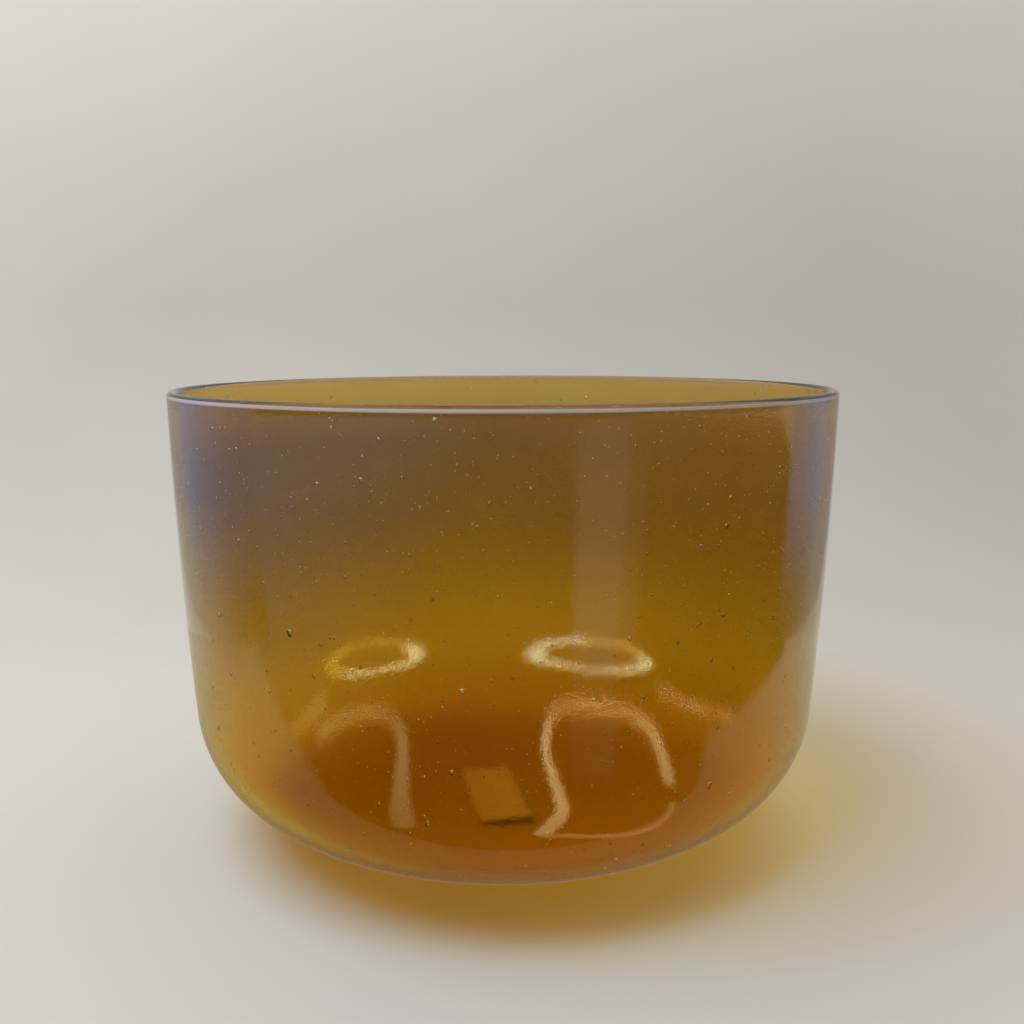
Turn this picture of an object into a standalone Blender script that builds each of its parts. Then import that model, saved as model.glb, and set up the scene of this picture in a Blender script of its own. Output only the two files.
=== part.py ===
"""Crystal singing bowl: a one-piece quartz shell with a blank paper slip lying on its floor.

Metres, +Z up. The origin is the centre of the flat seat that the bowl stands on.
"""

import math

import bpy

OBJECT_NAME = "singing_bowl"

# Bowl shell
RIM_RADIUS = 0.127  # outer radius at the lip: a 10-inch bowl
HEIGHT = 0.1735  # seat to the top of the lip
WALL = 0.0038  # wall thickness, the same all over
RIM_LEAN = math.radians(0.86)  # how far the outer wall leans outwards at the lip
WALL_SWEEP_RADIUS = 2.15  # the side wall is very slightly barrelled
CORNER_RADIUS = 0.046  # outer radius of the turn from wall to base
BASE_RADIUS = 0.305  # outer radius of the domed base
SEAT_RADIUS = 0.030  # flat on the dome that the bowl stands on
LIP_RADIUS = WALL / 2  # the lip is fire-polished to a full round
LIP_CENTRE_Z = HEIGHT - LIP_RADIUS
DOME_CENTRE_Z = math.sqrt(BASE_RADIUS**2 - SEAT_RADIUS**2)
STRAIGHT_DOWN = -math.pi / 2
TURN_STEPS = 72
ARC_PIECES = (5, 6, 7)  # straight pieces along the wall, the corner and the base
LIP_PIECES = 6

# Paper slip
SLIP_LENGTH = 0.057
SLIP_WIDTH = 0.0208
SLIP_THICKNESS = 0.0002
SLIP_CENTRE = (-0.0035, -0.0050)
SLIP_TURN = math.radians(10.0)
SLIP_GAP = 0.0003  # clearance between the paper and the quartz
CURL_LENGTH = 0.020  # the front end of the slip has come up off the base
CURL_HEIGHT = 0.0008
CURL_SLANT = 0.6  # the right-hand front corner stands this share higher than the middle
SLIP_CUTS_LONG = 20
SLIP_CUTS_WIDE = 4

QUARTZ_IOR = 1.46
AMBER = (0.63, 0.36, 0.08, 1.0)
PAPER_WHITE = (0.80, 0.74, 0.58, 1.0)


def clear_scene():
    for item in list(bpy.data.objects):
        bpy.data.objects.remove(item)


def make_collection(name):
    collection = bpy.data.collections.new(name)
    bpy.context.scene.collection.children.link(collection)
    return collection


def make_material(name, colour, roughness, transmission):
    """A plain Principled material, named for what the part is made of."""
    material = bpy.data.materials.new(name)
    material.use_nodes = True
    shader = material.node_tree.nodes["Principled BSDF"]
    shader.inputs["Base Color"].default_value = colour
    shader.inputs["Roughness"].default_value = roughness
    shader.inputs["Metallic"].default_value = 0.0
    shader.inputs["Transmission Weight"].default_value = transmission
    shader.inputs["IOR"].default_value = QUARTZ_IOR
    return material


def arc(centre, radius, start, end, pieces):
    """Points (r, z) on an arc from one angle to another, ends included."""
    points = []
    for i in range(pieces + 1):
        angle = start + (end - start) * i / pieces
        points.append((centre[0] + radius * math.cos(angle), centre[1] + radius * math.sin(angle)))
    return points


def corner_centre(wall_centre, dome_centre):
    """Centre of the corner arc, which touches the wall's arc and the dome's arc from inside both."""
    to_wall = WALL_SWEEP_RADIUS - CORNER_RADIUS
    to_dome = BASE_RADIUS - CORNER_RADIUS
    apart = math.dist(wall_centre, dome_centre)
    along = (to_wall**2 - to_dome**2 + apart**2) / (2 * apart)
    aside = math.sqrt(to_wall**2 - along**2)
    ur = (dome_centre[0] - wall_centre[0]) / apart
    uz = (dome_centre[1] - wall_centre[1]) / apart
    return (wall_centre[0] + along * ur + aside * uz, wall_centre[1] + along * uz - aside * ur)


def direction(start, end):
    return math.atan2(end[1] - start[1], end[0] - start[0])


def bowl_arcs():
    """The outer face's wall, corner and base arcs, each as (centre, radius, first angle, last angle)."""
    lean = -RIM_LEAN
    lip_edge_z = LIP_CENTRE_Z + LIP_RADIUS * math.sin(lean)
    wall_centre = (
        RIM_RADIUS - WALL_SWEEP_RADIUS * math.cos(lean),
        lip_edge_z - WALL_SWEEP_RADIUS * math.sin(lean),
    )
    dome_centre = (0.0, DOME_CENTRE_Z)
    corner = corner_centre(wall_centre, dome_centre)
    wall_end = direction(wall_centre, corner)
    dome_start = direction(dome_centre, corner)
    return (
        (wall_centre, WALL_SWEEP_RADIUS, lean, wall_end),
        (corner, CORNER_RADIUS, wall_end, dome_start),
        (dome_centre, BASE_RADIUS, dome_start, STRAIGHT_DOWN),
    )


def face_points(depth, dome_end):
    """Points down one face of the shell, at a depth inside the outer face, to an angle on the dome."""
    points = []
    for (centre, radius, start, end), pieces in zip(bowl_arcs(), ARC_PIECES):
        last = dome_end if end == STRAIGHT_DOWN else end
        points = points[:-1] + arc(centre, radius - depth, start, last, pieces)
    return points


def bowl_profile():
    """Half section of the shell: up the inside, over the lip, down the outside and in along the seat."""
    inside = face_points(WALL, STRAIGHT_DOWN)
    inside[-1] = (0.0, inside[-1][1])
    outside = face_points(0.0, -math.acos(SEAT_RADIUS / BASE_RADIUS))
    lip_centre = (RIM_RADIUS - LIP_RADIUS * math.cos(RIM_LEAN), LIP_CENTRE_Z)
    lip = arc(lip_centre, LIP_RADIUS, math.pi - RIM_LEAN, -RIM_LEAN, LIP_PIECES)
    return inside[::-1] + lip[1:-1] + outside + [(0.0, 0.0)]


def turned_object(name, profile, collection, material):
    """A body of revolution about +Z from a half section, by a Screw modifier."""
    mesh = bpy.data.meshes.new(name)
    edges = [(i, i + 1) for i in range(len(profile) - 1)]
    mesh.from_pydata([(r, 0.0, z) for r, z in profile], edges, [])
    item = bpy.data.objects.new(name, mesh)
    collection.objects.link(item)
    mesh.materials.append(material)
    screw = item.modifiers.new("turn", "SCREW")
    screw.axis = "Z"
    screw.angle = math.tau
    screw.steps = TURN_STEPS
    screw.render_steps = TURN_STEPS
    screw.use_merge_vertices = True
    screw.merge_threshold = 0.00001
    screw.use_smooth_shade = True


def floor_height(x, y):
    """Height of the quartz under a point of the slip, on the inside of the domed base."""
    return DOME_CENTRE_Z - math.sqrt((BASE_RADIUS - WALL) ** 2 - x * x - y * y)


def curl_lift(along, across):
    """How far the paper stands off the base: nothing on its flat part, rising to the front edge."""
    past = max(0.0, CURL_LENGTH - (along + SLIP_LENGTH / 2)) / CURL_LENGTH
    slant = 1.0 + CURL_SLANT * across / (SLIP_WIDTH / 2)
    return CURL_HEIGHT * past * past * slant


def make_slip(collection, material):
    """The paper slip: a fine grid laid on the base, its front end curled up, given a thickness."""
    bpy.ops.mesh.primitive_grid_add(
        x_subdivisions=SLIP_CUTS_WIDE,
        y_subdivisions=SLIP_CUTS_LONG,
        size=1.0,
        location=(0.0, 0.0, 0.0),
    )
    slip = bpy.context.object
    slip.name = "paper_slip"
    slip.data.name = "paper_slip"
    for home in list(slip.users_collection):
        home.objects.unlink(slip)
    collection.objects.link(slip)
    slip.data.materials.append(material)

    cos_turn = math.cos(SLIP_TURN)
    sin_turn = math.sin(SLIP_TURN)
    for vertex in slip.data.vertices:
        across = vertex.co.x * SLIP_WIDTH
        along = vertex.co.y * SLIP_LENGTH
        x = SLIP_CENTRE[0] + across * cos_turn - along * sin_turn
        y = SLIP_CENTRE[1] + across * sin_turn + along * cos_turn
        vertex.co = (x, y, floor_height(x, y) + SLIP_GAP + curl_lift(along, across))
    slip.data.shade_smooth()

    sheet = slip.modifiers.new("paper thickness", "SOLIDIFY")
    sheet.thickness = SLIP_THICKNESS
    sheet.offset = 1.0


def main():
    clear_scene()
    collection = make_collection(OBJECT_NAME)
    quartz = make_material("amber_quartz", AMBER, roughness=0.04, transmission=1.0)
    paper = make_material("blank_paper", PAPER_WHITE, roughness=0.85, transmission=0.0)
    turned_object("bowl_shell", bowl_profile(), collection, quartz)
    make_slip(collection, paper)


main()
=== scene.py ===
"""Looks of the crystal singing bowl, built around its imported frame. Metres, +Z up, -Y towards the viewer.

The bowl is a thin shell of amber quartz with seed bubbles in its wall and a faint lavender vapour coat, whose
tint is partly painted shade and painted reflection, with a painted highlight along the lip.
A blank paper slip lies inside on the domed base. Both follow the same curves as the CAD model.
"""

import bisect
import math
import random

import bmesh
import bpy
from mathutils import Matrix, Vector, noise


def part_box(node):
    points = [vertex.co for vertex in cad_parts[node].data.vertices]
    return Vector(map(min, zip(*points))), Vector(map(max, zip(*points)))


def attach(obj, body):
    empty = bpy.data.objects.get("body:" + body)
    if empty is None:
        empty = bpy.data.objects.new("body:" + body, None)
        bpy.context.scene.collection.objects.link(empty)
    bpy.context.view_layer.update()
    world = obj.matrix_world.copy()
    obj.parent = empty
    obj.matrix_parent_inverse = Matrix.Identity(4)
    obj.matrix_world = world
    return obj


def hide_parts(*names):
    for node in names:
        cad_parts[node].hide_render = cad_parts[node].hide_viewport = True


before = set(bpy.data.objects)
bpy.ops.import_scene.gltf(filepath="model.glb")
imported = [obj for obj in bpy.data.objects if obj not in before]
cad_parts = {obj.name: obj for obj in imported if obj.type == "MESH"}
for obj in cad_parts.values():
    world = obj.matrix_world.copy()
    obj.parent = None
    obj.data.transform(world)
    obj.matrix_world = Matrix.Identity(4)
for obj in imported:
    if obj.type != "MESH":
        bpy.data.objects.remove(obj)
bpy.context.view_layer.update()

SHELL_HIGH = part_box("bowl_shell")[1]

# Bowl shell: the same driving sizes as the CAD model, cut much finer
RIM_RADIUS = SHELL_HIGH[0]
HEIGHT = SHELL_HIGH[2]
WALL = 0.0038
RIM_LEAN = math.radians(0.86)  # how far the outer wall leans outwards at the lip
WALL_SWEEP_RADIUS = 2.15  # the side wall is very slightly barrelled
CORNER_RADIUS = 0.046  # outer radius of the turn from wall to base
BASE_RADIUS = 0.305  # outer radius of the domed base
SEAT_RADIUS = 0.030  # flat on the dome that the bowl stands on
LIP_RADIUS = WALL / 2
LIP_CENTRE_Z = HEIGHT - LIP_RADIUS
DOME_CENTRE_Z = math.sqrt(BASE_RADIUS**2 - SEAT_RADIUS**2)
STRAIGHT_DOWN = -math.pi / 2
TURN_STEPS = 288
ARC_PIECES = (44, 30, 34)  # straight pieces along the wall, the corner and the base
LIP_PIECES = 14
SEAT_RINGS = (0.66, 0.33)  # shares of the seat's radius

# Slow waves of the hand-blown surface
RIPPLE = 0.00005  # how far it wanders from a true body of revolution
RIPPLE_FADE = 0.03  # it dies away below this height, towards the flat seat
RIPPLE_SLOW = (14, 30)  # lumps per metre, around and up
RIPPLE_QUICK = (60, 90)
RIPPLE_QUICK_SHARE = 0.35
RIPPLE_QUICK_SHIFT = 7.0  # sets the quick waves apart from the slow ones

# Seed bubbles
BUBBLES = 8500
BUBBLE_SEED = 11
BUBBLE_TYPICAL = 0.00018  # half length of a common bubble
BUBBLE_LARGEST = 0.0012
BUBBLE_SPREAD = 0.52
BUBBLE_FLAT = 0.8  # thickness of a bubble across the wall, as a share of its width
BUBBLE_DRAWN = (0.8, 1.5)  # its least and greatest length up the wall, as a share of its width
BUBBLE_TILT = 0.4  # most that a drawn bubble leans, in radians
BUBBLE_FINE = 0.0003  # bubbles over this size get a finer mesh
BUBBLE_SKIN = 0.0002  # least quartz left over a bubble
BUBBLE_STOP = 0.02  # angle about the middle of the dome that is left without bubbles

# Paper slip
SLIP_LENGTH = 0.057
SLIP_WIDTH = 0.0208
SLIP_THICKNESS = 0.0002
SLIP_CENTRE = (-0.0035, -0.0050)
SLIP_TURN = math.radians(10.0)
SLIP_GAP = 0.0003
CURL_LENGTH = 0.020
CURL_HEIGHT = 0.0008
CURL_SLANT = 0.6
SLIP_CUTS_LONG = 90
SLIP_CUTS_WIDE = 30
SLIP_RAGGED = 0.0004  # how far the torn front edge wanders
SLIP_RAGGED_PART = 0.04  # share of the slip's half length that is pulled about with that edge
SLIP_TEARS = 17  # lumps along the torn edge
SLIP_COCKLE = 0.00012  # the paper has cockled up by this much at most
SLIP_COCKLES = (90, 60)  # lumps per metre, in X and Y

# Camera
CAMERA_PLACE = (0.0, -0.4088, 0.1908)
CAMERA_PITCH = math.radians(9.435)
CAMERA_YAW = -0.00793
CAMERA_ROLL = math.radians(-0.11)
CAMERA_LENS = 36.07

# Amber of the quartz, by share of the bowl's height
AMBER_BY_HEIGHT = (
    (0.00, (0.82, 0.44, 0.03)),
    (0.20, (0.855, 0.565, 0.035)),
    (0.35, (0.73, 0.52, 0.04)),
    (0.53, (0.61, 0.435, 0.07)),
    (0.71, (0.60, 0.41, 0.10)),
    (0.82, (0.59, 0.40, 0.12)),
    (0.96, (0.75, 0.50, 0.14)),
    (1.00, (0.77, 0.51, 0.145)),
)
QUARTZ_IOR = 1.46
BUBBLE_IOR = 1.0 / QUARTZ_IOR
SHADOW_GAMMA = 0.52  # a shadow ray takes about half of the tint at each face it crosses

# The vapour coat's bluish tint, partly real coat and partly painted shade and painted blue reflection over
# the upper wall: it reaches lower on the left than on the right, and stops short of the lip at the back
COAT_AND_SHADE_TINT = (0.76, 0.82, 1.0)
COAT_AND_SHADE_START = 0.10
COAT_AND_SHADE_FULL = 0.17
COAT_AND_SHADE_SLANT = 0.34
COAT_AND_SHADE_BELOW_LIP = (0.002, 0.034)  # how far under the lip it starts and is full, at the back
COAT_AND_SHADE_FRONT = 0.03  # that gap closes from this far behind the axis to this far in front

# Painted highlight on the outer edge of the lip: a milky lavender band that stands in for the bright
# reflection along it
LIP_HIGHLIGHT_COLOUR = (0.66, 0.60, 0.68)
LIP_HIGHLIGHT_CLEAR = 0.25  # share of the highlight that stays clear
LIP_HIGHLIGHT_BACK = 0.3  # it is thinner on the far side
LIP_HIGHLIGHT_TURN = 0.04  # and thickens from this far behind the axis to this far in front
LIP_HIGHLIGHT_INSET = (0.00030, 0.00012)  # depths inside the rim's outer radius where it starts and is full
LIP_HIGHLIGHT_DROP = (0.0005, 0.0001)  # depths below the lip's centre where it starts and is full

# Fine relief of the quartz: lumps per metre and their height
GRAIN = (1450.0, 0.000022)
PEEL = (120.0, 0.00003)


# ---------------------------------------------------------------- profile of the shell


def arc(centre, radius, start, end, pieces):
    """Points (r, z) on an arc from one angle to another, ends included."""
    points = []
    for i in range(pieces + 1):
        angle = start + (end - start) * i / pieces
        points.append((centre[0] + radius * math.cos(angle), centre[1] + radius * math.sin(angle)))
    return points


def corner_centre(wall_centre, dome_centre):
    """Centre of the corner arc, which touches the wall's arc and the dome's arc from inside both."""
    to_wall = WALL_SWEEP_RADIUS - CORNER_RADIUS
    to_dome = BASE_RADIUS - CORNER_RADIUS
    apart = math.dist(wall_centre, dome_centre)
    along = (to_wall**2 - to_dome**2 + apart**2) / (2 * apart)
    aside = math.sqrt(to_wall**2 - along**2)
    ur = (dome_centre[0] - wall_centre[0]) / apart
    uz = (dome_centre[1] - wall_centre[1]) / apart
    return (wall_centre[0] + along * ur + aside * uz, wall_centre[1] + along * uz - aside * ur)


def direction(start, end):
    return math.atan2(end[1] - start[1], end[0] - start[0])


def bowl_arcs():
    """The outer face's wall, corner and base arcs, each as (centre, radius, first angle, last angle)."""
    lean = -RIM_LEAN
    lip_edge_z = LIP_CENTRE_Z + LIP_RADIUS * math.sin(lean)
    wall_centre = (
        RIM_RADIUS - WALL_SWEEP_RADIUS * math.cos(lean),
        lip_edge_z - WALL_SWEEP_RADIUS * math.sin(lean),
    )
    dome_centre = (0.0, DOME_CENTRE_Z)
    corner = corner_centre(wall_centre, dome_centre)
    wall_end = direction(wall_centre, corner)
    dome_start = direction(dome_centre, corner)
    return (
        (wall_centre, WALL_SWEEP_RADIUS, lean, wall_end),
        (corner, CORNER_RADIUS, wall_end, dome_start),
        (dome_centre, BASE_RADIUS, dome_start, STRAIGHT_DOWN),
    )


def face_points(depth, dome_end):
    """Points down one face of the shell, at a depth inside the outer face, to an angle on the dome."""
    points = []
    for (centre, radius, start, end), pieces in zip(bowl_arcs(), ARC_PIECES):
        last = dome_end if end == STRAIGHT_DOWN else end
        points = points[:-1] + arc(centre, radius - depth, start, last, pieces)
    return points


def bowl_profile():
    """Half section of the shell: up the inside, over the lip, down the outside and in along the seat."""
    inside = face_points(WALL, STRAIGHT_DOWN)
    inside[-1] = (0.0, inside[-1][1])
    outside = face_points(0.0, -math.acos(SEAT_RADIUS / BASE_RADIUS))
    lip_centre = (RIM_RADIUS - LIP_RADIUS * math.cos(RIM_LEAN), LIP_CENTRE_Z)
    lip = arc(lip_centre, LIP_RADIUS, math.pi - RIM_LEAN, -RIM_LEAN, LIP_PIECES)
    seat = [(SEAT_RADIUS * share, 0.0) for share in SEAT_RINGS]
    return inside[::-1] + lip[1:-1] + outside + seat + [(0.0, 0.0)]


def floor_height(x, y):
    """Height of the quartz under a point of the slip, on the inside of the domed base."""
    return DOME_CENTRE_Z - math.sqrt((BASE_RADIUS - WALL) ** 2 - x * x - y * y)


# ---------------------------------------------------------------- objects


def add_object(name, mesh, material):
    item = bpy.data.objects.new(name, mesh)
    bpy.context.scene.collection.objects.link(item)
    mesh.materials.append(material)
    return item


def mesh_from(name, bm):
    mesh = bpy.data.meshes.new(name)
    bm.to_mesh(mesh)
    bm.free()
    mesh.shade_smooth()
    return mesh


def ripple(x, y, z):
    """How far the hand-blown surface stands out at a point, fading to nothing at the flat seat."""
    fade = min(1.0, z / RIPPLE_FADE)
    around, up = RIPPLE_SLOW
    slow = noise.noise(Vector((x * around, y * around, z * up)))
    around, up = RIPPLE_QUICK
    quick = noise.noise(Vector((x * around, y * around, z * up + RIPPLE_QUICK_SHIFT)))
    return RIPPLE * fade * (slow + RIPPLE_QUICK_SHARE * quick)


def shell_ring(bm, r, z):
    """One ring of the shell, rippled a little, or its one point on the axis."""
    if r < 1e-9:
        return [bm.verts.new((0.0, 0.0, z))]
    ring = []
    for i in range(TURN_STEPS):
        angle = math.tau * i / TURN_STEPS
        x = r * math.cos(angle)
        y = r * math.sin(angle)
        wave = 1.0 + ripple(x, y, z) / r
        ring.append(bm.verts.new((x * wave, y * wave, z)))
    return ring


def make_shell(material):
    """The bowl: its half section turned about +Z."""
    bm = bmesh.new()
    rings = [shell_ring(bm, r, z) for r, z in bowl_profile()]
    for low, high in zip(rings, rings[1:]):
        for i in range(TURN_STEPS):
            j = (i + 1) % TURN_STEPS
            if len(low) == 1:
                bm.faces.new((low[0], high[j], high[i]))
            elif len(high) == 1:
                bm.faces.new((low[i], low[j], high[0]))
            else:
                bm.faces.new((low[i], low[j], high[j], high[i]))
    bmesh.ops.recalc_face_normals(bm, faces=bm.faces)
    shell = add_object("quartz_shell", mesh_from("quartz_shell", bm), material)
    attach(shell, "root")
    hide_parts("bowl_shell")


def wall_places():
    """Steps down the middle of the wall (both ends, outward normal), and the area up to the end of each."""
    points = face_points(WALL / 2, STRAIGHT_DOWN + BUBBLE_STOP)
    places = []
    areas = []
    total = 0.0
    for a, b in zip(points, points[1:]):
        step = math.dist(a, b)
        total += step * (a[0] + b[0]) / 2
        normal = ((a[1] - b[1]) / step, (b[0] - a[0]) / step)
        places.append((a, b, normal))
        areas.append(total)
    return places, areas


def ball_template(subdivisions):
    """Points and faces of a unit ball."""
    ball = bmesh.new()
    bmesh.ops.create_icosphere(ball, subdivisions=subdivisions, radius=1.0)
    points = [vertex.co.copy() for vertex in ball.verts]
    faces = [[vertex.index for vertex in face.verts] for face in ball.faces]
    ball.free()
    return points, faces


def make_bubbles(material):
    """Seed bubbles: small air-filled ellipsoids inside the wall, drawn out a little along it."""
    rng = random.Random(BUBBLE_SEED)
    places, areas = wall_places()
    balls = [ball_template(subdivisions) for subdivisions in (1, 2)]
    points = []
    faces = []
    for _ in range(BUBBLES):
        a, b, normal = places[min(bisect.bisect(areas, rng.random() * areas[-1]), len(places) - 1)]
        share = rng.random()
        half = min(BUBBLE_LARGEST, BUBBLE_TYPICAL * math.exp(rng.gauss(0.0, BUBBLE_SPREAD)))
        depth = (WALL / 2 - half - BUBBLE_SKIN) * rng.uniform(-1.0, 1.0)
        r = a[0] + (b[0] - a[0]) * share + normal[0] * depth
        z = max(a[1] + (b[1] - a[1]) * share + normal[1] * depth, half + BUBBLE_SKIN)
        lean = math.atan2(normal[1], normal[0])
        place = (
            Matrix.Rotation(rng.uniform(0.0, math.tau), 4, "Z")
            @ Matrix.Translation((r, 0.0, z))
            @ Matrix.Rotation(-lean, 4, "Y")
            @ Matrix.Rotation(rng.uniform(-BUBBLE_TILT, BUBBLE_TILT), 4, "X")
            @ Matrix.Diagonal((half * BUBBLE_FLAT, half, half * rng.uniform(*BUBBLE_DRAWN), 1.0))
        )
        ball_points, ball_faces = balls[half > BUBBLE_FINE]
        first = len(points)
        points += [place @ point for point in ball_points]
        faces += [[first + i for i in face] for face in ball_faces]
    mesh = bpy.data.meshes.new("seed_bubbles")
    mesh.from_pydata(points, [], faces)
    mesh.shade_smooth()
    bubbles = add_object("seed_bubbles", mesh, material)
    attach(bubbles, "root")


def curl_lift(along, across):
    """How far the paper stands off the base: nothing on its flat part, rising to the front edge."""
    past = max(0.0, CURL_LENGTH - (along + SLIP_LENGTH / 2)) / CURL_LENGTH
    slant = 1.0 + CURL_SLANT * across / (SLIP_WIDTH / 2)
    return CURL_HEIGHT * past * past * slant


def slip_point(u, v):
    """A point of the paper's underside, for shares u across and v along it, each from -0.5 to 0.5."""
    edge = max(0.0, -v * 2 - (1.0 - SLIP_RAGGED_PART)) / SLIP_RAGGED_PART
    across = u * SLIP_WIDTH
    along = v * SLIP_LENGTH + edge * SLIP_RAGGED * noise.noise(Vector((u * SLIP_TEARS, 3.0, 1.0)))
    x = SLIP_CENTRE[0] + across * math.cos(SLIP_TURN) - along * math.sin(SLIP_TURN)
    y = SLIP_CENTRE[1] + across * math.sin(SLIP_TURN) + along * math.cos(SLIP_TURN)
    lumps = noise.noise(Vector((x * SLIP_COCKLES[0], y * SLIP_COCKLES[1], 5.0)))
    z = floor_height(x, y) + SLIP_GAP + curl_lift(along, across) + SLIP_COCKLE * (0.5 + 0.5 * lumps)
    return (x, y, z)


def slip_sheet(bm, lift):
    """Rows of points for one face of the paper, lifted off the underside."""
    rows = []
    for j in range(SLIP_CUTS_LONG + 1):
        row = []
        for i in range(SLIP_CUTS_WIDE + 1):
            x, y, z = slip_point(i / SLIP_CUTS_WIDE - 0.5, j / SLIP_CUTS_LONG - 0.5)
            row.append(bm.verts.new((x, y, z + lift)))
        rows.append(row)
    return rows


def make_slip(material):
    """The paper slip, laid on the base with its front end curled up and its front edge a little ragged."""
    bm = bmesh.new()
    sheets = (slip_sheet(bm, 0.0), slip_sheet(bm, SLIP_THICKNESS))
    for rows, top in zip(sheets, (False, True)):
        for front, back in zip(rows, rows[1:]):
            for i in range(SLIP_CUTS_WIDE):
                corners = (front[i], front[i + 1], back[i + 1], back[i])
                bm.faces.new(corners if top else corners[::-1])
    rims = []
    for rows in sheets:
        left = [row[0] for row in rows]
        right = [row[-1] for row in rows]
        rims.append(rows[0][:-1] + right[:-1] + rows[-1][:0:-1] + left[:0:-1])
    for i in range(len(rims[0])):
        j = (i + 1) % len(rims[0])
        bm.faces.new((rims[0][i], rims[0][j], rims[1][j], rims[1][i]))
    bmesh.ops.recalc_face_normals(bm, faces=bm.faces)
    mesh = mesh_from("blank_slip", bm)
    mesh.set_sharp_from_angle(angle=math.radians(40))
    slip = add_object("blank_slip", mesh, material)
    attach(slip, "root")
    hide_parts("paper_slip")


# ---------------------------------------------------------------- materials


def new_material(name):
    """An empty node material, with its tree and its output node."""
    material = bpy.data.materials.new(name)
    material.use_nodes = True
    tree = material.node_tree
    tree.nodes.clear()
    return material, tree, tree.nodes.new("ShaderNodeOutputMaterial")


def connect(tree, value, socket):
    """Links a socket to another, or sets a number or an RGB colour on it."""
    if isinstance(value, bpy.types.NodeSocket):
        tree.links.new(value, socket)
    elif isinstance(value, tuple):
        socket.default_value = (*value, 1.0)
    else:
        socket.default_value = value


def own_place(tree):
    """The place on a piece in its own coordinates."""
    return tree.nodes.new("ShaderNodeTexCoord").outputs["Object"]


def split(tree, vector):
    """The outputs X, Y and Z of a vector."""
    node = tree.nodes.new("ShaderNodeSeparateXYZ")
    tree.links.new(vector, node.inputs[0])
    return node.outputs


def length_of(tree, vector):
    node = tree.nodes.new("ShaderNodeVectorMath")
    node.operation = "LENGTH"
    tree.links.new(vector, node.inputs[0])
    return node.outputs["Value"]


def noise_node(tree, source, scale, detail, roughness=0.5):
    node = tree.nodes.new("ShaderNodeTexNoise")
    node.inputs["Scale"].default_value = scale
    node.inputs["Detail"].default_value = detail
    node.inputs["Roughness"].default_value = roughness
    tree.links.new(source, node.inputs["Vector"])
    return node.outputs["Fac"]


def ramp_node(tree, source, stops):
    """A colour ramp through (place, colour) stops."""
    node = tree.nodes.new("ShaderNodeValToRGB")
    elements = node.color_ramp.elements
    while len(elements) < len(stops):
        elements.new(0.5)
    for element, (place, colour) in zip(elements, stops):
        element.position = place
        element.color = (*colour, 1.0)
    tree.links.new(source, node.inputs["Fac"])
    return node.outputs["Color"]


def range_node(tree, source, low, high, to_low=0.0, to_high=1.0):
    """A value carried from one range to another and held at its ends."""
    node = tree.nodes.new("ShaderNodeMapRange")
    node.inputs["From Min"].default_value = low
    node.inputs["From Max"].default_value = high
    node.inputs["To Min"].default_value = to_low
    node.inputs["To Max"].default_value = to_high
    tree.links.new(source, node.inputs["Value"])
    return node.outputs["Result"]


def math_node(tree, operation, *values):
    """A Math node; each value is a socket or a number."""
    node = tree.nodes.new("ShaderNodeMath")
    node.operation = operation
    for socket, value in zip(node.inputs, values):
        connect(tree, value, socket)
    return node.outputs[0]


def mix_colours(tree, factor, first, second, blend="MIX"):
    """A colour mix; factor and each colour are a socket, a number or an RGB tuple."""
    node = tree.nodes.new("ShaderNodeMix")
    node.data_type = "RGBA"
    node.blend_type = blend
    for socket, value in ((0, factor), (6, first), (7, second)):
        connect(tree, value, node.inputs[socket])
    return node.outputs[2]


def bump_node(tree, height, distance, under=None):
    node = tree.nodes.new("ShaderNodeBump")
    node.inputs["Distance"].default_value = distance
    tree.links.new(height, node.inputs["Height"])
    if under is not None:
        tree.links.new(under, node.inputs["Normal"])
    return node.outputs["Normal"]


def end_in_glass(tree, out, glass, shadow_tint):
    """Ends a material in glass that lets shadow rays straight through, tinted by a colour."""
    clear = tree.nodes.new("ShaderNodeBsdfTransparent")
    connect(tree, shadow_tint, clear.inputs["Color"])
    paths = tree.nodes.new("ShaderNodeLightPath")
    mix = tree.nodes.new("ShaderNodeMixShader")
    tree.links.new(paths.outputs["Is Shadow Ray"], mix.inputs[0])
    tree.links.new(glass.outputs[0], mix.inputs[1])
    tree.links.new(clear.outputs[0], mix.inputs[2])
    tree.links.new(mix.outputs[0], out.inputs["Surface"])


def amber_coat_and_painted_shade(tree, place, parts):
    """The quartz's colour: amber graded by height, tinted by the vapour coat with painted shade and painted
    blue reflection over the upper wall, and faintly clouded.
    """
    amber = ramp_node(tree, range_node(tree, parts["Z"], 0.0, HEIGHT), AMBER_BY_HEIGHT)
    # painted shade and reflection: a bluish, darker tint over the upper wall, lower on the left and held back
    # under the lip at the back
    lean = math_node(tree, "MULTIPLY", parts["X"], parts["Z"])
    dip_line = math_node(tree, "MULTIPLY_ADD", lean, -COAT_AND_SHADE_SLANT / HEIGHT, parts["Z"])
    reach = range_node(tree, dip_line, COAT_AND_SHADE_START, COAT_AND_SHADE_FULL)
    below_lip = range_node(tree, parts["Z"], HEIGHT - COAT_AND_SHADE_BELOW_LIP[0], HEIGHT - COAT_AND_SHADE_BELOW_LIP[1])
    front = range_node(tree, parts["Y"], COAT_AND_SHADE_FRONT, -COAT_AND_SHADE_FRONT)
    coat_and_shade = math_node(tree, "MULTIPLY", reach, math_node(tree, "MAXIMUM", below_lip, front))
    coat_and_shade_tint = ramp_node(tree, coat_and_shade, ((0.0, (1.0, 1.0, 1.0)), (1.0, COAT_AND_SHADE_TINT)))
    clouds = noise_node(tree, place, 14.0, 2.0)
    cloud_tint = ramp_node(tree, clouds, ((0.3, (0.93, 0.91, 0.9)), (0.7, (1.0, 1.0, 1.0))))
    coated_and_shaded = mix_colours(tree, 1.0, amber, coat_and_shade_tint, "MULTIPLY")
    return mix_colours(tree, 1.0, coated_and_shaded, cloud_tint, "MULTIPLY")


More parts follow.
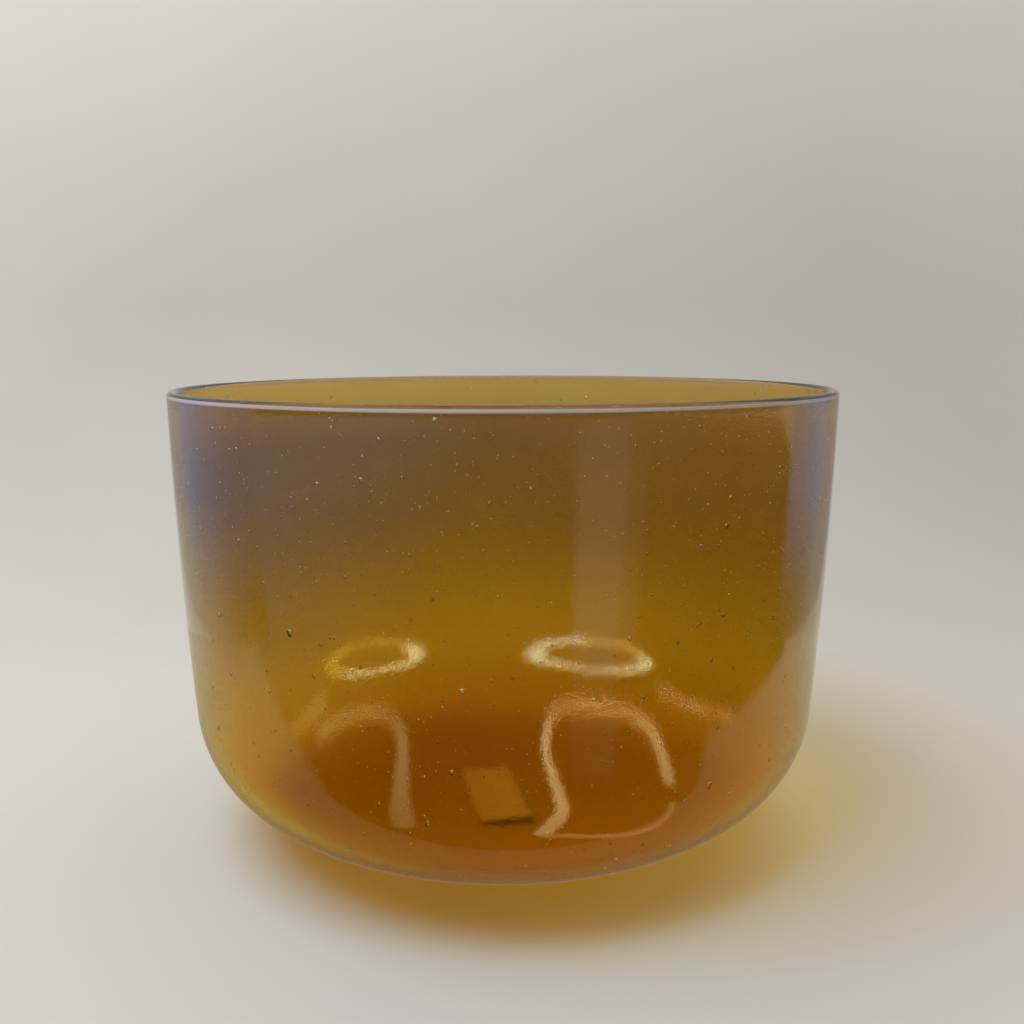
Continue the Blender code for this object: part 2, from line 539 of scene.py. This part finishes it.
def painted_lip_highlight(tree, parts):
    """Mask of the painted highlight on the lip, which makes the quartz milky there: 1 on the outer edge of
    the lip, less at the back, and 0 elsewhere.
    """
    across = math_node(tree, "MULTIPLY", parts["X"], parts["X"])
    around = math_node(tree, "SQRT", math_node(tree, "MULTIPLY_ADD", parts["Y"], parts["Y"], across))
    outer = range_node(tree, around, RIM_RADIUS - LIP_HIGHLIGHT_INSET[0], RIM_RADIUS - LIP_HIGHLIGHT_INSET[1])
    upper = range_node(tree, parts["Z"], LIP_CENTRE_Z - LIP_HIGHLIGHT_DROP[0], LIP_CENTRE_Z - LIP_HIGHLIGHT_DROP[1])
    near = range_node(tree, parts["Y"], LIP_HIGHLIGHT_TURN, -LIP_HIGHLIGHT_TURN, LIP_HIGHLIGHT_BACK, 1.0)
    return math_node(tree, "MULTIPLY", math_node(tree, "MULTIPLY", outer, upper), near)


def amber_quartz():
    """Amber glass, deepest low down and browner towards the rim, with a faint grain, a vapour coat whose tint
    is partly painted shade and reflection, and a painted highlight on the lip.
    """
    material, tree, out = new_material("amber_quartz_fine")
    place = own_place(tree)
    parts = split(tree, place)
    # painted highlight along the lip: a milky lavender band mixed into the colour, which also lets less light
    # through
    lip_highlight = painted_lip_highlight(tree, parts)
    colour = mix_colours(tree, lip_highlight, amber_coat_and_painted_shade(tree, place, parts), LIP_HIGHLIGHT_COLOUR)
    soft = bump_node(tree, noise_node(tree, place, PEEL[0], 2.0), PEEL[1])
    normal = bump_node(tree, noise_node(tree, place, GRAIN[0], 2.0), GRAIN[1], soft)
    smear = noise_node(tree, place, 60.0, 4.0, 0.6)

    glass = tree.nodes.new("ShaderNodeBsdfPrincipled")
    glass.inputs["Metallic"].default_value = 0.0
    glass.inputs["IOR"].default_value = QUARTZ_IOR
    tree.links.new(colour, glass.inputs["Base Color"])
    tree.links.new(normal, glass.inputs["Normal"])
    tree.links.new(range_node(tree, smear, 0.35, 0.75, 0.005, 0.03), glass.inputs["Roughness"])
    tree.links.new(range_node(tree, lip_highlight, 0.0, 1.0, 1.0, LIP_HIGHLIGHT_CLEAR), glass.inputs["Transmission Weight"])

    half_tint = tree.nodes.new("ShaderNodeGamma")
    half_tint.inputs["Gamma"].default_value = SHADOW_GAMMA
    tree.links.new(colour, half_tint.inputs["Color"])
    end_in_glass(tree, out, glass, half_tint.outputs["Color"])
    return material


def bubble_air():
    """The skin between quartz and the air in a bubble."""
    material, tree, out = new_material("bubble_air")
    glass = tree.nodes.new("ShaderNodeBsdfPrincipled")
    glass.inputs["Base Color"].default_value = (1.0, 1.0, 1.0, 1.0)
    glass.inputs["Transmission Weight"].default_value = 1.0
    glass.inputs["IOR"].default_value = BUBBLE_IOR
    spots = noise_node(tree, own_place(tree), 300.0, 1.0)
    tree.links.new(range_node(tree, spots, 0.35, 0.65, 0.15, 0.6), glass.inputs["Roughness"])
    end_in_glass(tree, out, glass, (1.0, 1.0, 1.0))
    return material


def blank_paper():
    """Uncoated cream paper, coloured a dark orange-brown that partly paints the dim amber light reaching it
    through the quartz: fine fibres, faint mottling and a soft tooth.
    """
    material, tree, out = new_material("blank_paper_fine")
    place = own_place(tree)
    fibres = noise_node(tree, place, 1400.0, 4.0, 0.7)
    mottle = noise_node(tree, place, 160.0, 3.0)
    # painted shade: the dark orange tone stands in for the amber light that reaches the slip through the
    # quartz
    shade = ramp_node(tree, mottle, ((0.3, (0.53, 0.25, 0.11)), (0.7, (0.62, 0.30, 0.15))))
    speck = ramp_node(tree, fibres, ((0.35, (0.90, 0.88, 0.84)), (0.6, (1.0, 1.0, 1.0))))
    paper = tree.nodes.new("ShaderNodeBsdfPrincipled")
    paper.inputs["Specular IOR Level"].default_value = 0.2
    tree.links.new(mix_colours(tree, 1.0, shade, speck, "MULTIPLY"), paper.inputs["Base Color"])
    tree.links.new(range_node(tree, fibres, 0.3, 0.7, 0.82, 0.95), paper.inputs["Roughness"])
    tree.links.new(bump_node(tree, fibres, 0.00004), paper.inputs["Normal"])
    tree.links.new(paper.outputs[0], out.inputs["Surface"])
    return material


def pale_cloth():
    """The pale cloth of the stage, which glows a little far out, where the lamps don't reach."""
    material, tree, out = new_material("stage_cloth")
    place = own_place(tree)
    mottle = noise_node(tree, place, 5.0, 3.0)
    colour = ramp_node(tree, mottle, ((0.3, (0.74, 0.72, 0.67)), (0.7, (0.77, 0.75, 0.70))))
    cloth = tree.nodes.new("ShaderNodeBsdfPrincipled")
    cloth.inputs["Roughness"].default_value = 0.9
    cloth.inputs["Specular IOR Level"].default_value = 0.0
    tree.links.new(colour, cloth.inputs["Base Color"])
    tree.links.new(colour, cloth.inputs["Emission Color"])
    far_light = range_node(tree, length_of(tree, place), 0.6, 1.7, 0.0, 0.58)
    tree.links.new(far_light, cloth.inputs["Emission Strength"])
    material.cycles.emission_sampling = "NONE"
    tree.links.new(cloth.outputs[0], out.inputs["Surface"])
    return material


# ---------------------------------------------------------------- stage, lights, camera

FLOOR_Z = -0.0002
FLOOR_HALF_WIDTH = 3.0
FLOOR_FRONT = -3.0
SWEEP_START = 0.24
SWEEP_RADIUS = 0.22
SWEEP_PIECES = 24
BACKDROP_TOP = 2.0

# Stage cards: glowing shapes that only reflections in the quartz show, lying on the floor
# or standing beside the bowl
CARD_Z = 0.0004
CLOTH_FRONT = -0.140  # beyond this edge the quartz mirrors a dark room instead of cloth
ROOM_EDGE = (
    (-2.0, 0.42),
    (-0.57, 0.02),
    (-0.36, -0.08),
    (-0.23, -0.12),
    (-0.15, -0.143),
    (-0.08, -0.134),
    (0.10, -0.126),
    (0.20, -0.14),
    (0.25, -0.09),
    (0.33, 0.02),
    (0.43, 0.07),
    (1.32, 0.26),
    (2.0, 0.40),
)
WINDOW_OUT = 0.35
WINDOW_TOP = 0.30
WINDOW_BACK = 0.42
WINDOW_SOFT = 0.15

# An upright panel far ahead, laid out flat on the floor where its reflection falls: foot, panel and side
UPRIGHT_FOOT = ((0.062, -0.215), (0.096, -0.196), (0.172, -0.302), (0.108, -0.335))
UPRIGHT = ((0.108, -0.335), (0.172, -0.302), (1.25, -1.571), (0.73, -1.79))
UPRIGHT_SIDE = ((0.172, -0.302), (0.199, -0.291), (1.40, -1.437), (1.25, -1.571))

# Looped lamp tubes, as (name, width, strength, path)
GLOW_COLOUR = (1.0, 0.78, 0.30)
GLOW_LINES = (
    (
        "card_loop_right",
        0.0145,
        3.6,
        (
            (0.019, -0.147),
            (0.045, -0.194),
            (0.043, -0.248),
            (0.063, -0.281),
            (0.092, -0.277),
            (0.143, -0.245),
            (0.157, -0.200),
            (0.134, -0.154),
        ),
    ),
    (
        "card_loop_right_foot",
        0.009,
        1.8,
        (
            (0.112, -0.137),
            (0.102, -0.129),
            (0.083, -0.120),
            (0.063, -0.122),
            (0.034, -0.141),
            (0.019, -0.147),
        ),
    ),
    (
        "card_loop_left",
        0.021,
        1.4,
        (
            (-0.056, -0.142),
            (-0.088, -0.193),
            (-0.110, -0.230),
            (-0.133, -0.240),
            (-0.163, -0.229),
            (-0.184, -0.193),
            (-0.185, -0.159),
        ),
    ),
    (
        "card_loop_left_spot",
        0.030,
        1.1,
        ((-0.206, -0.129), (-0.212, -0.152), (-0.217, -0.177), (-0.225, -0.195)),
    ),
    (
        "card_streak",
        0.004,
        8.0,
        ((0.199, -0.234), (0.208, -0.211), (0.215, -0.178), (0.224, -0.143), (0.230, -0.109)),
    ),
)
GLOW_FAR = -0.28  # the Y by which a tube glows GLOW_FAR_GAIN times as strongly, as its reflection fades there
GLOW_FAR_GAIN = 3.4
RIBBON_REACH = 0.15  # past this far ahead of the axis a ribbon narrows, by its distance to this power
RIBBON_NARROWING = 1.5
RIBBON_NEAR = (0.10, 0.07, 0.55)  # it also narrows close by: where, over what length, and to what least share

# Round studio lights over the bowl
RING_RADIUS = 0.167
RING_TUBE = 0.0115
RING_STEPS = 64
RING_SIDES = 10
RING_FADE = (0.08, 0.03)  # depths below the ring's middle where its glow turns from dim to bright

# Surround
PALE_SURROUND = (0.62, 0.60, 0.56)
WORLD_DIM = (0.06, 0.06, 0.07)
WORLD_FILL = (0.13, 0.13, 0.14)
SKY_COLOUR = (0.60, 0.60, 0.75)


def make_stage(material):
    """Floor and backdrop in one sweep."""
    line = [(FLOOR_FRONT, FLOOR_Z)]
    for i in range(SWEEP_PIECES + 1):
        angle = math.pi / 2 * i / SWEEP_PIECES
        y = SWEEP_START + SWEEP_RADIUS * math.sin(angle)
        line.append((y, FLOOR_Z + SWEEP_RADIUS * (1 - math.cos(angle))))
    line.append((line[-1][0], BACKDROP_TOP))
    bm = bmesh.new()
    sides = [[bm.verts.new((x, y, z)) for y, z in line] for x in (-FLOOR_HALF_WIDTH, FLOOR_HALF_WIDTH)]
    for i in range(len(line) - 1):
        bm.faces.new((sides[0][i], sides[1][i], sides[1][i + 1], sides[0][i + 1]))
    add_object("stage_sweep", mesh_from("stage_sweep", bm), material)


def add_soft_light(name, place, aim, size, power, colour):
    """A big soft lamp that lights surfaces without showing up as a reflection."""
    data = bpy.data.lights.new(name, "AREA")
    data.shape = "SQUARE"
    data.size = size
    data.energy = power
    data.color = colour
    data.cycles.use_multiple_importance_sampling = False
    lamp = bpy.data.objects.new(name, data)
    bpy.context.scene.collection.objects.link(lamp)
    lamp.location = place
    lamp.rotation_euler = (Vector(aim) - Vector(place)).to_track_quat("-Z", "Y").to_euler()


def only_reflected(item):
    """Hides a stage piece from everything but reflections."""
    item.visible_camera = False
    item.visible_diffuse = False
    item.visible_shadow = False
    item.visible_volume_scatter = False


def add_card(name, bm, material):
    """A stage card, seen in reflections but not through the quartz."""
    card = add_object(name, mesh_from(name, bm), material)
    only_reflected(card)
    card.visible_transmission = False


def end_in_glow(material, tree, out, colour, strength=1.0):
    """Ends a stage material in a plain glow; its colour and strength are each a socket or a value."""
    glow = tree.nodes.new("ShaderNodeEmission")
    connect(tree, colour, glow.inputs["Color"])
    connect(tree, strength, glow.inputs["Strength"])
    tree.links.new(glow.outputs[0], out.inputs["Surface"])
    material.cycles.emission_sampling = "NONE"
    return material


def add_flat_card(name, outline, z, material):
    """A flat card just over the floor, from its outline of (x, y) points."""
    bm = bmesh.new()
    bm.faces.new([bm.verts.new((x, y, z)) for x, y in outline])
    bmesh.ops.triangulate(bm, faces=bm.faces)
    add_card(name, bm, material)


def ribbon(path, width):
    """Outline of a flat ribbon along a path of (x, y) points, thinner where its reflection looks wider."""
    near_edge, near_length, least = RIBBON_NEAR
    left = []
    right = []
    for i, (x, y) in enumerate(path):
        before = path[max(0, i - 1)]
        after = path[min(len(path) - 1, i + 1)]
        angle = direction(before, after)
        far_share = min(1.0, RIBBON_REACH / -y) ** RIBBON_NARROWING
        near_share = max(least, min(1.0, (-y - near_edge) / near_length))
        half = width / 2 * far_share * near_share
        aside = (-math.sin(angle) * half, math.cos(angle) * half)
        left.append((x + aside[0], y + aside[1]))
        right.append((x - aside[0], y - aside[1]))
    return left + right[::-1]


def smooth_path(points, pieces=8):
    """A smooth open curve through (x, y) points (Catmull-Rom)."""
    ends = [points[0], *points, points[-1]]
    path = []
    for a, b, c, d in zip(ends, ends[1:], ends[2:], ends[3:]):
        for i in range(pieces):
            t = i / pieces
            weights = (
                -0.5 * t + t * t - 0.5 * t**3,
                1.0 - 2.5 * t * t + 1.5 * t**3,
                0.5 * t + 2.0 * t * t - 1.5 * t**3,
                -0.5 * t * t + 0.5 * t**3,
            )
            path.append(tuple(sum(w * p[k] for w, p in zip(weights, (a, b, c, d))) for k in (0, 1)))
    return [*path, points[-1]]


def add_glow_line(name, width, strength, points):
    """A glowing line on the floor, brighter far ahead, seen only as its reflection."""
    material, tree, out = new_material(name)
    ahead = split(tree, own_place(tree))["Y"]
    power = range_node(tree, ahead, -RIBBON_REACH, GLOW_FAR, strength, GLOW_FAR_GAIN * strength)
    end_in_glow(material, tree, out, GLOW_COLOUR, power)
    add_flat_card(name, ribbon(smooth_path(points), width), CARD_Z * 2, material)


def add_window(name, x, front, foot_colour, front_colour, back_colour):
    """An upright card beside the bowl, two colours front and back, with a foot that darkens to the front."""
    material, tree, out = new_material(name)
    parts = split(tree, tree.nodes.new("ShaderNodeNewGeometry").outputs["Position"])
    back = range_node(tree, parts["Y"], front, front + WINDOW_SOFT)
    foot = mix_colours(tree, back, (0.0, 0.0, 0.0), foot_colour)
    far = range_node(tree, parts["Y"], 0.10, 0.22)
    top = mix_colours(tree, far, front_colour, back_colour)
    up = range_node(tree, parts["Z"], 0.02, 0.10)
    end_in_glow(material, tree, out, mix_colours(tree, up, foot, top))
    bm = bmesh.new()
    corners = ((x, front, 0.0), (x, WINDOW_BACK, 0.0), (x, WINDOW_BACK, WINDOW_TOP), (x, front, WINDOW_TOP))
    bm.faces.new([bm.verts.new(corner) for corner in corners])
    add_card(name, bm, material)


def add_glow_round():
    """A round card for the cloth close to the bowl, in the amber light that comes through the quartz."""
    material, tree, out = new_material("card_glow_round")
    shade = ramp_node(
        tree,
        length_of(tree, own_place(tree)),
        ((0.10, (0.34, 0.25, 0.12)), (0.20, (0.50, 0.43, 0.30)), (0.32, (0.62, 0.57, 0.50))),
    )
    end_in_glow(material, tree, out, shade)
    turns = [math.tau * i / RING_STEPS for i in range(RING_STEPS)]
    outline = [(WINDOW_OUT * math.cos(turn), WINDOW_OUT * math.sin(turn)) for turn in turns]
    add_flat_card("card_glow_round", outline, CARD_Z / 2, material)


def dark_room():
    """The room beyond the cloth: black close by, dim and blue far ahead, and bluer still on the left."""
    material, tree, out = new_material("dark_room")
    parts = split(tree, own_place(tree))
    ahead = range_node(tree, parts["Y"], CLOTH_FRONT, -1.6)
    stops = ((0.0, (0.0, 0.0, 0.0)), (0.3, (0.05, 0.05, 0.05)), (1.0, (0.26, 0.32, 0.45)))
    aside = range_node(tree, parts["X"], -0.15, -0.85)
    shade = mix_colours(tree, aside, ramp_node(tree, ahead, stops), (0.34, 0.55, 1.0))
    return end_in_glow(material, tree, out, shade)


def add_glow_panel(name, outline, colour, strength):
    """A flat panel of one glow, over the dark room."""
    material, tree, out = new_material(name)
    end_in_glow(material, tree, out, colour, strength)
    add_flat_card(name, outline, CARD_Z * 1.5, material)


def add_cards():
    """What the quartz mirrors: a dark room round the cloth, an upright, windows and looped lamp tubes."""
    room = (*ROOM_EDGE, (2.0, FLOOR_FRONT), (-2.0, FLOOR_FRONT))
    add_flat_card("card_dark_room", room, CARD_Z, dark_room())
    add_glow_panel("card_upright_foot", UPRIGHT_FOOT, (1.0, 1.0, 0.55), 0.25)
    add_glow_panel("card_upright", UPRIGHT, (1.0, 0.97, 0.92), 0.65)
    add_glow_panel("card_upright_side", UPRIGHT_SIDE, (1.0, 0.9, 0.88), 0.3)
    add_window(
        "card_window_left",
        x=-WINDOW_OUT,
        front=-0.12,
        foot_colour=(0.56, 0.50, 0.46),
        front_colour=(0.26, 0.42, 0.90),
        back_colour=(0.42, 0.42, 0.40),
    )
    add_window(
        "card_window_right",
        x=WINDOW_OUT,
        front=-0.01,
        foot_colour=(0.32, 0.32, 0.32),
        front_colour=(0.27, 0.45, 0.74),
        back_colour=(0.40, 0.31, 0.31),
    )
    add_glow_round()
    for name, width, strength, points in GLOW_LINES:
        add_glow_line(name, width, strength, points)


def ring_glow(name, height, colour, bright, dim):
    """A ring light's glow, bright high up and dim low down, seen from inside quartz after one reflection."""
    material, tree, out = new_material(name)
    up = split(tree, tree.nodes.new("ShaderNodeNewGeometry").outputs["Position"])["Z"]
    power = range_node(tree, up, height - RING_FADE[0], height - RING_FADE[1], dim, bright)
    paths = tree.nodes.new("ShaderNodeLightPath")
    inside = math_node(tree, "GREATER_THAN", paths.outputs["Transmission Depth"], 0.5)
    first = math_node(tree, "LESS_THAN", paths.outputs["Glossy Depth"], 1.5)
    shown = math_node(tree, "MULTIPLY", inside, first)
    return end_in_glow(material, tree, out, colour, math_node(tree, "MULTIPLY", power, shown))


def add_ring_light(name, centre, aim, colour, bright, dim):
    """A round studio light over the bowl, seen only as its first reflection in the quartz."""
    bm = bmesh.new()
    rows = []
    for i in range(RING_STEPS):
        turn = math.tau * i / RING_STEPS
        row = []
        for j in range(RING_SIDES):
            roll = math.tau * j / RING_SIDES
            reach = RING_RADIUS + RING_TUBE * math.cos(roll)
            place = (reach * math.cos(turn), reach * math.sin(turn), RING_TUBE * math.sin(roll))
            row.append(bm.verts.new(place))
        rows.append(row)
    for row, after in zip(rows, rows[1:] + rows[:1]):
        for j in range(RING_SIDES):
            k = (j + 1) % RING_SIDES
            bm.faces.new((row[j], after[j], after[k], row[k]))
    ring = add_object(name, mesh_from(name, bm), ring_glow(name, centre[2], colour, bright, dim))
    ring.location = centre
    ring.rotation_euler = (Vector(aim) - Vector(centre)).to_track_quat("Z", "Y").to_euler()
    only_reflected(ring)


def set_world():
    """A pale surround for the camera, a dim one for bounced light, and a lilac sky for gloss from outside."""
    world = bpy.data.worlds.new("studio")
    bpy.context.scene.world = world
    world.use_nodes = True
    tree = world.node_tree
    tree.nodes.clear()
    out = tree.nodes.new("ShaderNodeOutputWorld")
    seen = tree.nodes.new("ShaderNodeBackground")
    connect(tree, PALE_SURROUND, seen.inputs["Color"])
    paths = tree.nodes.new("ShaderNodeLightPath").outputs
    straight = math_node(tree, "MAXIMUM", paths["Is Camera Ray"], paths["Is Transmission Ray"])

    up = split(tree, tree.nodes.new("ShaderNodeTexCoord").outputs["Generated"])["Z"]
    overhead = range_node(tree, up, 0.05, 0.30)
    outside = math_node(tree, "LESS_THAN", paths["Transmission Depth"], 0.5)
    gloss = math_node(tree, "MULTIPLY", outside, paths["Is Glossy Ray"])
    mirrored = mix_colours(tree, math_node(tree, "MULTIPLY", gloss, overhead), WORLD_DIM, SKY_COLOUR)
    around = tree.nodes.new("ShaderNodeBackground")
    connect(tree, mix_colours(tree, paths["Is Diffuse Ray"], mirrored, WORLD_FILL), around.inputs["Color"])
    mix = tree.nodes.new("ShaderNodeMixShader")
    tree.links.new(straight, mix.inputs[0])
    tree.links.new(around.outputs[0], mix.inputs[1])
    tree.links.new(seen.outputs[0], mix.inputs[2])
    tree.links.new(mix.outputs[0], out.inputs["Surface"])


def add_camera():
    data = bpy.data.cameras.new("view")
    data.lens = CAMERA_LENS
    data.sensor_width = 36.0
    camera = bpy.data.objects.new("view", data)
    bpy.context.scene.collection.objects.link(camera)
    camera.matrix_world = (
        Matrix.Translation(CAMERA_PLACE)
        @ Matrix.Rotation(CAMERA_YAW, 4, "Z")
        @ Matrix.Rotation(math.pi / 2 - CAMERA_PITCH, 4, "X")
        @ Matrix.Rotation(CAMERA_ROLL, 4, "Z")
    )
    bpy.context.scene.camera = camera


def add_lights():
    """Two soft lamps over the front of the bowl, and two round lights that show only as reflections."""
    add_soft_light(
        "key",
        place=(-0.45, -0.32, 1.2),
        aim=(0.0, 0.05, 0.0),
        size=0.8,
        power=10.8,
        colour=(0.98, 1.0, 1.0),
    )
    add_soft_light(
        "fill_right",
        place=(0.35, -0.25, 1.1),
        aim=(0.0, 0.0, 0.0),
        size=0.5,
        power=1.2,
        colour=(1.0, 0.78, 0.60),
    )
    add_ring_light(
        "ring_left",
        centre=(-0.221, -0.105, 0.407),
        aim=(0.044, 0.100, 0.032),
        colour=(0.8, 1.6, 8.0),
        bright=90.0,
        dim=32.0,
    )
    add_ring_light(
        "ring_right",
        centre=(0.360, -0.048, 0.362),
        aim=(-0.062, 0.090, 0.034),
        colour=(0.8, 1.5, 6.0),
        bright=70.0,
        dim=26.0,
    )


def main():
    add_camera()
    scene = bpy.context.scene
    scene.view_settings.view_transform = "Standard"
    scene.cycles.caustics_reflective = False
    scene.cycles.caustics_refractive = False
    set_world()
    make_stage(pale_cloth())
    add_cards()
    add_lights()
    make_shell(amber_quartz())
    make_bubbles(bubble_air())
    make_slip(blank_paper())


main()
